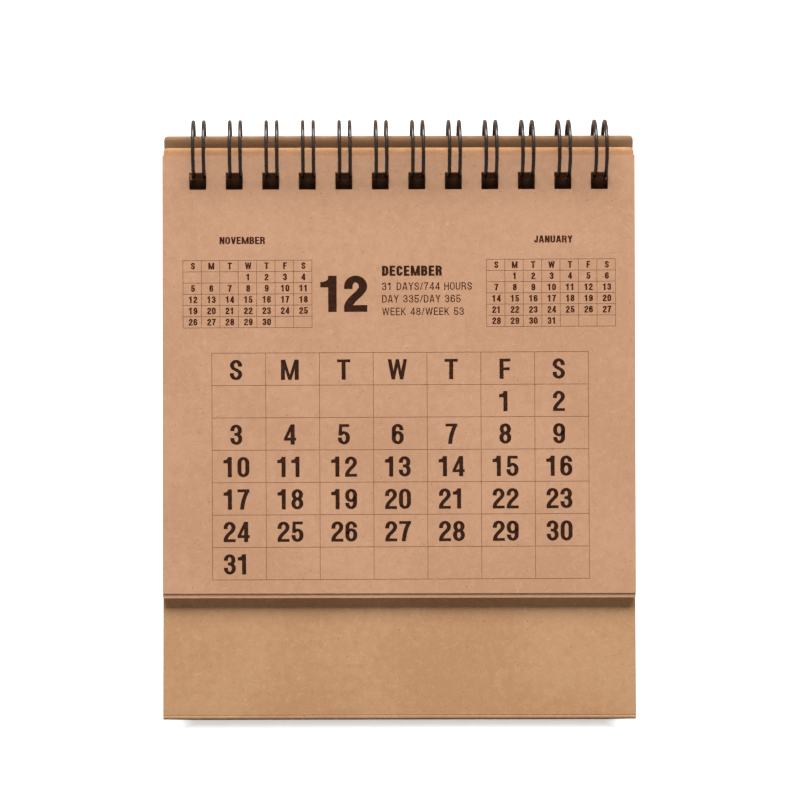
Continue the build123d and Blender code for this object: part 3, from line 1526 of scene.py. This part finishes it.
class PrintMesh:
    """Ink strokes that are gathered into one mesh of closed, very thin shapes.

    Attributes:
        points, faces: the mesh so far, where a height of 1 is the ink's full thickness.
        top: height of the stroke that is being added.
        layer: how much higher each stroke of a letter is than the one before it.
        upright: how upright a stroke is, by its normal's share along X, to have level ends.
    """

    layer: float = 0.06
    upright: float = 0.3

    def __init__(self) -> None:
        """Start with no ink."""
        self.points: list[tuple[float, float, float]] = []
        self.faces: list[tuple[int, ...]] = []
        self.top = 1.0

    def add_ribbon(self, left: np.ndarray, right: np.ndarray, closed: bool) -> None:
        """Add a flat ribbon between two edges, with a top, a bottom and walls.

        Args:
            left, right: the two edges, point by point.
            closed: whether the ribbon runs back to its start.
        """
        start, count = len(self.points), len(left)
        for edge, level in ((left, self.top), (right, self.top), (right, 0.0), (left, 0.0)):
            self.points += [(x, y, level) for x, y in edge]
        rails = [start + count * rail for rail in range(4)]
        steps = [(i, (i + 1) % count) for i in range(count if closed else count - 1)]
        for rail, beside in pairwise([*rails, rails[0]]):
            self.faces += [(rail + i, beside + i, beside + j, rail + j) for i, j in steps]
        if not closed:
            self.faces.append(tuple(reversed(rails)))
            self.faces.append(tuple(rail + count - 1 for rail in rails))

    def add_fill(self, outline: np.ndarray) -> None:
        """Add a flat filled shape, with a top, a bottom and walls.

        Args:
            outline: its points, anticlockwise.
        """
        start, count = len(self.points), len(outline)
        for level in (self.top, 0.0):
            self.points += [(x, y, level) for x, y in outline]
        top = range(start, start + count)
        bottom = range(start + count, start + 2 * count)
        self.faces += [tuple(top), tuple(reversed(bottom))]
        for i in range(count):
            j = (i + 1) % count
            self.faces.append((bottom[i], bottom[j], top[j], top[i]))

    def add_stroke(self, stroke: Stroke, width: float, style: TypeStyle, corner: Point) -> None:
        """Add one stroke of a letter with the pen of a style.

        Args:
            stroke: the stroke.
            width: the letter's width, in hundredths of the cap height.
            style: size and weight of the type.
            corner: the lower left corner of the letter.
        """
        half_stem, half_bar = style.stem * CAP / 2, style.bar * CAP / 2
        line_points = stroke.skeleton(style.steps)
        wide = width * style.stretch
        drawn, inked = (0, PEN_STEM, width - PEN_STEM, width), (0, half_stem, wide - half_stem, wide)
        x = np.interp(line_points[:, 0], drawn, inked)
        drawn, inked = (0, PEN_BAR, CAP - PEN_BAR, CAP), (0, half_bar, CAP - half_bar, CAP)
        y = np.interp(line_points[:, 1], drawn, inked)
        middle = np.stack((x, y), 1)
        size = style.cap_height / CAP
        if stroke.filled:
            self.add_fill(middle * size + corner)
            return
        if stroke.closed:
            run = np.roll(middle, -1, 0) - np.roll(middle, 1, 0)
        else:
            run = np.gradient(middle, axis=0)
        run /= np.linalg.norm(run, axis=1)[:, None]
        normal = np.stack((-run[:, 1], run[:, 0]), 1)
        pen = np.array((half_stem, half_bar)) * stroke.weight
        offset = pen**2 * normal / np.linalg.norm(pen * normal, axis=1)[:, None]
        for end in () if stroke.closed else (0, -1):
            if line_points[end, 1] in (0, CAP) and abs(normal[end, 0]) > self.upright:
                offset[end] = (offset[end] @ normal[end] / normal[end, 0], 0)
        left, right = (middle + offset) * size + corner, (middle - offset) * size + corner
        self.add_ribbon(left, right, stroke.closed)

    def add_text(self, text: str, style: TypeStyle, corner: Point) -> None:
        """Add a line of text.

        Args:
            text: the text.
            style: size and weight of the type.
            corner: its lower left corner.
        """
        x, y = corner
        for letter in text:
            width, strokes = LETTERS[letter]
            for place, stroke in enumerate(strokes):
                self.top = 1 + self.layer * place
                self.add_stroke(stroke, width, style, (x, y))
            x += (width / CAP * style.stretch + style.gap) * style.cap_height

    def add_centred(self, text: str, style: TypeStyle, middle: Point) -> None:
        """Add a line of text about its middle."""
        x, y = middle
        self.add_text(text, style, (x - style.width(text) / 2, y - style.cap_height / 2))

    def mesh(
        self, name: str, face: SheetFace, tilt: float, thickness: float, material: bpy.types.Material
    ) -> bpy.types.Mesh:
        """Lay the ink on a sheet.

        Args:
            name: the mesh's name.
            face: the sheet's face.
            tilt: how far the print is turned on the sheet.
            thickness: of the ink, of which half is in the sheet.
            material: the ink.

        Returns:
            The mesh in place.
        """
        mesh = bpy.data.meshes.new(name)
        mesh.from_pydata(self.points, [], self.faces)
        mesh.transform(ink_matrix(face, tilt, thickness))
        mesh.materials.append(material)
        return mesh


def ink_matrix(face: SheetFace, tilt: float, thickness: float) -> Matrix:
    """Give the matrix that lays print of unit thickness on a sheet, half sunk in it.

    Args:
        face: the sheet's face.
        tilt: how far the print is turned about the middle of the sheet's head.
        thickness: of the ink.

    Returns:
        The matrix, for print that is measured from the middle of the head.
    """
    level = Matrix.Translation((0, 0, -thickness / 2)) @ Matrix.Scale(thickness, 4, (0, 0, 1))
    return face.matrix() @ Matrix.Translation((0, face.head, 0)) @ Matrix.Rotation(tilt, 4, "Z") @ level


WEEKDAYS = "SMTWTFS"


@dataclass(frozen=True)
class Month:
    """A month.

    Attributes:
        name, number: what it is called, and its place in the year.
        days: its length.
        first: the column of its first day.
    """

    name: str
    number: int
    days: int
    first: int

    def following(self, name: str, number: int, days: int) -> "Month":
        """Give the month after this one."""
        return Month(name, number, days, (self.first + self.days) % len(WEEKDAYS))


@dataclass(frozen=True)
class DayGrid:
    """A ruled grid of days, with a row of weekday initials.

    Attributes:
        left, top: its upper left corner on the page.
        column, row: size of a cell.
        rows: weekday row and weeks.
        style: the type in it.
        nudge: how far the type lies off the middle of its cell.
    """

    left: float
    top: float
    column: float
    row: float
    rows: int
    style: TypeStyle
    nudge: Point

    def cell(self, column: int, row: int) -> Point:
        """Give where the type of a cell is centred."""
        x = self.left + (column + 0.5) * self.column + self.nudge[0]
        return x, self.top - (row + 0.5) * self.row + self.nudge[1]

    def print_days(self, month: Month, ink: PrintMesh) -> None:
        """Print the weekday initials and the days of a month.

        Args:
            month: the month.
            ink: the mesh that takes the print.
        """
        for column, initial in enumerate(WEEKDAYS):
            ink.add_centred(initial, self.style, self.cell(column, 0))
        for day in range(1, month.days + 1):
            week, column = divmod(month.first + day - 1, len(WEEKDAYS))
            ink.add_centred(str(day), self.style, self.cell(column, week + 1))


@dataclass
class MonthPrint:
    """The print on a leaf: a month, and the months before and after it in small.

    Attributes:
        ink, soft_ink, rule_ink: finishes of the large type, the small type and the rules.
        tilt: how far the print is turned on the leaf.
        thickness: of the ink.
        rule: width of a rule.
        rule_share: thickness of a rule, as a share of the ink's.
        level_share: thickness of a level rule, as a share of an upright one's.
        day_type, small_type: type of the large and the small grids.
        head_type, name_type: type of the small grids' headings and of the month's name.
        note_type, number_type: type of the short lines and of the month's number.
        number_place, name_place: lower left corners, from the middle of the leaf's head.
        before_place, after_place: lower left corners of the small grids' headings.
        note_place, note_step: lower left corner of the first short line, and the step to the next.
    """

    ink: bpy.types.Material
    soft_ink: bpy.types.Material
    rule_ink: bpy.types.Material
    tilt: float = math.radians(0.15)
    thickness: float = 0.03 * MM
    rule: float = 0.1 * MM
    rule_share: float = 0.8
    level_share: float = 0.9
    day_type: TypeStyle = TypeStyle(4.7 * MM, stem=0.2, bar=0.14, gap=0.098, steps=8)
    small_type: TypeStyle = TypeStyle(1.55 * MM, stem=0.24, bar=0.172, steps=4)
    head_type: TypeStyle = TypeStyle(1.65 * MM, stem=0.25, bar=0.17, steps=4, stretch=1.13)
    name_type: TypeStyle = TypeStyle(2.35 * MM, stem=0.27, bar=0.185, gap=0.11, steps=5, stretch=1.045)
    note_type: TypeStyle = TypeStyle(1.74 * MM, stem=0.135, bar=0.115, gap=0.16, steps=4)
    number_type: TypeStyle = TypeStyle(
        8.42 * MM, stem=0.235, bar=0.185, gap=0.02, steps=12, stretch=1.083
    )
    number_place: Point = (-18.35 * MM, -36.41 * MM)
    name_place: Point = (-3.97 * MM, -28.07 * MM)
    before_place: Point = (-41.72 * MM, -20.5 * MM)
    after_place: Point = (31.46 * MM, -20.5 * MM)
    note_place: Point = (-3.97 * MM, -31.37 * MM)
    note_step: float = 2.93 * MM

    def __post_init__(self) -> None:
        """Lay out the grids of the page."""
        self.main = DayGrid(
            left=-43.64 * MM,
            top=-45.9 * MM,
            column=12.51 * MM,
            row=7.53 * MM,
            rows=7,
            style=self.day_type,
            nudge=(-0.63 * MM, -0.15 * MM),
        )
        self.before = DayGrid(
            left=-50.28 * MM,
            top=-24.33 * MM,
            column=4.285 * MM,
            row=2.61 * MM,
            rows=6,
            style=self.small_type,
            nudge=(0.18 * MM, 0.04 * MM),
        )
        self.after = replace(self.before, left=20.32 * MM)

    def rule_group(self) -> Nodes:
        """Build the tree that rules a grid of cells.

        Returns:
            The shorthand for the tree.
        """
        group = new_group(
            "ruled_grid",
            "GeometryNodeTree",
            {
                "Columns": "NodeSocketInt",
                "Rows": "NodeSocketInt",
                "Column Width": "NodeSocketFloat",
                "Row Height": "NodeSocketFloat",
                "Rule": "NodeSocketFloat",
                "Ink": "NodeSocketMaterial",
            },
            {"Grid": "NodeSocketGeometry"},
        )
        given = group.add("NodeGroupInput").outputs
        width = group.math("MULTIPLY", given["Columns"], given["Column Width"])
        height = group.math("MULTIPLY", given["Rows"], given["Row Height"])
        joined = group.add("GeometryNodeJoinGeometry")
        # Upright rules step to the right and hang down, level ones step down and run to the right
        for axis, direction, count, step, length, thickness in (
            (0, 1.0, given["Columns"], given["Column Width"], height, 1.0),
            (1, -1.0, given["Rows"], given["Row Height"], width, self.level_share),
        ):
            along = 1 - axis
            offset = group.add("ShaderNodeCombineXYZ", {axis: group.math("MULTIPLY", step, direction)})
            places = group.add(
                "GeometryNodeMeshLine",
                {"Count": group.math("ADD", count, 1.0), "Offset": offset.outputs[0]},
            )
            span = group.math("ADD", length, given["Rule"])
            size = group.add("ShaderNodeCombineXYZ", {axis: given["Rule"], along: span, 2: thickness})
            bar = group.add("GeometryNodeMeshCube", {"Size": size.outputs[0]})
            half = group.math("MULTIPLY", length, -direction / 2)
            shift = group.add("ShaderNodeCombineXYZ", {along: half, 2: thickness / 2})
            moved = group.add(
                "GeometryNodeTransform", {"Geometry": bar.outputs[0], "Translation": shift.outputs[0]}
            )
            bars = group.add(
                "GeometryNodeInstanceOnPoints",
                {"Points": places.outputs[0], "Instance": moved.outputs[0]},
            )
            group.feed(joined.inputs[0], bars.outputs[0])
        group.deliver("Grid", joined.outputs[0], given["Ink"])
        return group

    def rules(self, name: str, face: SheetFace, group: Nodes) -> bpy.types.Mesh:
        """Rule the three grids of a page.

        Args:
            name: the mesh's name.
            face: the leaf's face.
            group: the tree that rules a grid.

        Returns:
            The mesh in place.
        """
        bm = bmesh.new()
        for grid in (self.main, self.before, self.after):
            values = {
                "Columns": len(WEEKDAYS),
                "Rows": grid.rows,
                "Column Width": grid.column,
                "Row Height": grid.row,
                "Rule": self.rule,
                "Ink": self.rule_ink,
            }
            ruled = run_nodes(f"{name}_part", None, group, values)
            ruled.transform(Matrix.Translation((grid.left, grid.top, 0)))
            bm.from_mesh(ruled)
            bpy.data.meshes.remove(ruled)
        mesh = bpy.data.meshes.new(name)
        bm.to_mesh(mesh)
        bm.free()
        mesh.transform(ink_matrix(face, self.tilt, self.thickness * self.rule_share))
        mesh.materials.append(self.rule_ink)
        return mesh

    def build(
        self,
        name: str,
        face: SheetFace,
        body: Body,
        months: Sequence[Month],
        notes: Sequence[str],
        group: Nodes,
    ) -> None:
        """Print a page.

        Args:
            name: start of the pieces' names.
            face: the leaf's face.
            body: the body that the leaf is on.
            months: the month before, the page's month and the month after.
            notes: the three short lines beside the number.
            group: the tree that rules a grid.
        """
        before, month, after = months
        ink, soft = PrintMesh(), PrintMesh()
        self.main.print_days(month, ink)
        ink.add_text(str(month.number), self.number_type, self.number_place)
        ink.add_text(month.name, self.name_type, self.name_place)
        self.before.print_days(before, soft)
        self.after.print_days(after, soft)
        soft.add_text(before.name, self.head_type, self.before_place)
        soft.add_text(after.name, self.head_type, self.after_place)
        left, top = self.note_place
        for index, note in enumerate(notes):
            soft.add_text(note, self.note_type, (left, top - self.note_step * index))
        for part, layer, material in (("days", ink, self.ink), ("small_type", soft, self.soft_ink)):
            mesh = layer.mesh(f"{name}_{part}", face, self.tilt, self.thickness, material)
            add_piece(f"{name}_{part}", mesh, body)
        add_piece(f"{name}_rules", self.rules(f"{name}_rules", face, group), body)


@dataclass(frozen=True)
class Softbox:
    """A soft lamp that looks at the calendar.

    Attributes:
        name: the lamp's name.
        place: its middle.
        size: its width and depth.
        power: in watts.
        mirrored: whether it shows in shiny surfaces.
    """

    name: str
    place: tuple[float, float, float]
    size: Point
    power: float
    mirrored: bool = True

    def build(self, aim: Vector) -> None:
        """Hang the lamp, with its width along X.

        Args:
            aim: the place that it is tipped towards.
        """
        lamp = bpy.data.lights.new(self.name, "AREA")
        lamp.shape = "RECTANGLE"
        lamp.size, lamp.size_y = self.size
        lamp.energy = self.power
        hung = bpy.data.objects.new(self.name, lamp)
        hung.location = self.place
        hung.visible_glossy = self.mirrored
        hung.rotation_euler.x = math.atan2(aim.y - hung.location.y, hung.location.z - aim.z)
        bpy.context.scene.collection.objects.link(hung)


@dataclass
class Studio:
    """White floor, soft light from above and the camera, in metres.

    Attributes:
        aim: what the camera looks at.
        distance: camera to aim.
        elevation, roll: angles of the camera.
        lens: focal length on the default sensor, in millimetres.
        floor_size, floor_roughness: side and finish of the floor.
        floor_tone: how much light the floor throws back at the calendar.
        floor_seen: how much of it the camera sees, before the floor's own white takes over.
        clear_side, clear_deep: distances over which the floor fades to plain white.
        lamps: the lamps.
        fill, fill_tone: strength and colour of the light from all round.
        sheen: strength of the surroundings in shiny surfaces.
    """

    aim: Vector = field(default_factory=lambda: Vector((0.233, -8.0, 69.84)) * MM)
    distance: float = 0.8
    elevation: float = math.radians(14.68)
    roll: float = math.radians(-0.12)
    lens: float = 153.1
    floor_size: float = 8.0
    floor_roughness: float = 0.9
    floor_tone: float = 0.18
    floor_seen: float = 0.31
    clear_side: Point = (0.047, 0.0555)
    clear_deep: Point = (0.037, 0.047)
    lamps: tuple[Softbox, ...] = (
        Softbox("overhead", (0.15, -0.348, 2.0), (2.2, 0.86), 88.5),
        Softbox("behind", (0.0, 0.56, 2.0), (0.12, 0.14), 50.0, mirrored=False),
    )
    fill: float = 0.04
    fill_tone: Colour = srgb(255, 226, 196)
    sheen: float = 0.75

    def floor_material(self) -> bpy.types.Material:
        """Make the floor: white to the eye, with the calendar's shadow kept.

        Returns:
            The new material.
        """
        nodes, shader, material = new_material("floor")
        shader.inputs["Roughness"].default_value = self.floor_roughness
        shader.inputs["Specular IOR Level"].default_value = 0.0
        seen = nodes.add("ShaderNodeLightPath").outputs["Is Camera Ray"]
        tone = nodes.mix(seen, grey(self.floor_tone), grey(self.floor_seen))
        nodes.feed(shader.inputs["Base Color"], tone)
        place = nodes.add("ShaderNodeTexCoord").outputs["Object"]
        across, deep, _ = nodes.add("ShaderNodeSeparateXYZ", {0: place}).outputs
        beside = nodes.ramp(nodes.math("ABSOLUTE", across), *self.clear_side)
        beyond = nodes.ramp(nodes.math("ABSOLUTE", deep), *self.clear_deep)
        glow = nodes.math("MULTIPLY", seen, nodes.math("MAXIMUM", beside, beyond))
        shader.inputs["Emission Color"].default_value = WHITE
        nodes.feed(shader.inputs["Emission Strength"], glow)
        return material

    def build_floor(self) -> None:
        """Lay the floor."""
        half = self.floor_size / 2
        corners = [(-half, -half, 0), (half, -half, 0), (half, half, 0), (-half, half, 0)]
        mesh = bpy.data.meshes.new("floor")
        mesh.from_pydata(corners, [], [(0, 1, 2, 3)])
        mesh.materials.append(self.floor_material())
        floor = bpy.data.objects.new("floor", mesh)
        bpy.context.scene.collection.objects.link(floor)

    def build_surroundings(self) -> None:
        """Set the surroundings, which look white and light softly."""
        world = bpy.data.worlds.new("surroundings")
        world.use_nodes = True
        bpy.context.scene.world = world
        nodes = Nodes(world.node_tree)
        rays = nodes.add("ShaderNodeLightPath").outputs
        seen = rays["Is Camera Ray"]
        mirrored = nodes.math("MULTIPLY", rays["Is Glossy Ray"], self.sheen)
        background = world.node_tree.nodes["Background"]
        nodes.feed(background.inputs["Color"], nodes.mix(seen, self.fill_tone, WHITE))
        strength = nodes.math("MAXIMUM", nodes.math("MAXIMUM", seen, mirrored), self.fill)
        nodes.feed(background.inputs["Strength"], strength)

    def build_camera(self) -> None:
        """Set the camera at the photograph's angle."""
        data = bpy.data.cameras.new("camera")
        data.lens = self.lens
        data.sensor_fit = "HORIZONTAL"
        camera = bpy.data.objects.new("camera", data)
        turn = Matrix.Rotation(math.pi / 2 - self.elevation, 4, "X") @ Matrix.Rotation(self.roll, 4, "Z")
        back = Vector((0, -math.cos(self.elevation), math.sin(self.elevation)))
        camera.matrix_world = Matrix.Translation(self.aim + back * self.distance) @ turn
        bpy.context.scene.collection.objects.link(camera)
        bpy.context.scene.camera = camera

    def build(self) -> None:
        """Build the floor, the lamps, the surroundings and the camera."""
        self.build_floor()
        for lamp in self.lamps:
            lamp.build(self.aim)
        self.build_surroundings()
        self.build_camera()
        bpy.context.scene.view_settings.view_transform = "Standard"


def main() -> None:
    """Build every piece around the frame."""
    logging.basicConfig(level=logging.INFO, format="%(name)s: %(message)s")
    pulp, soak = KraftPulp().group(), InkSoak().group()
    board = KraftFinish(
        "board_kraft",
        light=srgb(199, 154, 114),
        deep=srgb(190, 144, 104),
        cut=srgb(118, 84, 56),
        # Painted light: the board's inner face is painted paler than its outer face
        inner_share=0.8,
    ).material(pulp)
    leaf = KraftFinish(
        "leaf_kraft", light=srgb(206, 159, 126), deep=srgb(198, 151, 118), cut=srgb(206, 166, 132)
    ).material(pulp)
    ink = InkFinish("print_ink", full=srgb(50, 26, 14), thin=srgb(70, 40, 27)).material(soak)
    soft_ink = InkFinish("small_print_ink", full=srgb(62, 24, 10), thin=srgb(92, 48, 30)).material(soak)
    rule_ink = InkFinish("rule_ink", full=srgb(110, 66, 42), thin=srgb(140, 94, 66)).material(soak)

    StandBoard(board).build()
    page = FrontLeaf(leaf).build()
    pad = RearLeaves(leaf).build()
    WireBinding(WireFinish().material()).build()

    november = Month("NOVEMBER", 11, 30, 3)
    december = november.following("DECEMBER", 12, 31)
    january = december.following("JANUARY", 1, 31)
    february = january.following("FEBRUARY", 2, 28)
    printing = MonthPrint(ink, soft_ink, rule_ink)
    rules = printing.rule_group()
    printing.build(
        "month_leaf", page, Body.FRONT_LEAF, (november, december, january),
        ("31 DAYS/744 HOURS", "DAY 335/DAY 365", "WEEK 48/WEEK 53"), rules,
    )
    printing.build(
        "next_leaf", pad, Body.STAND, (december, january, february),
        ("31 DAYS/744 HOURS", "DAY 1/DAY 31", "WEEK 1/WEEK 5"), rules,
    )
    Studio().build()


if __name__ == "__main__":
    main()
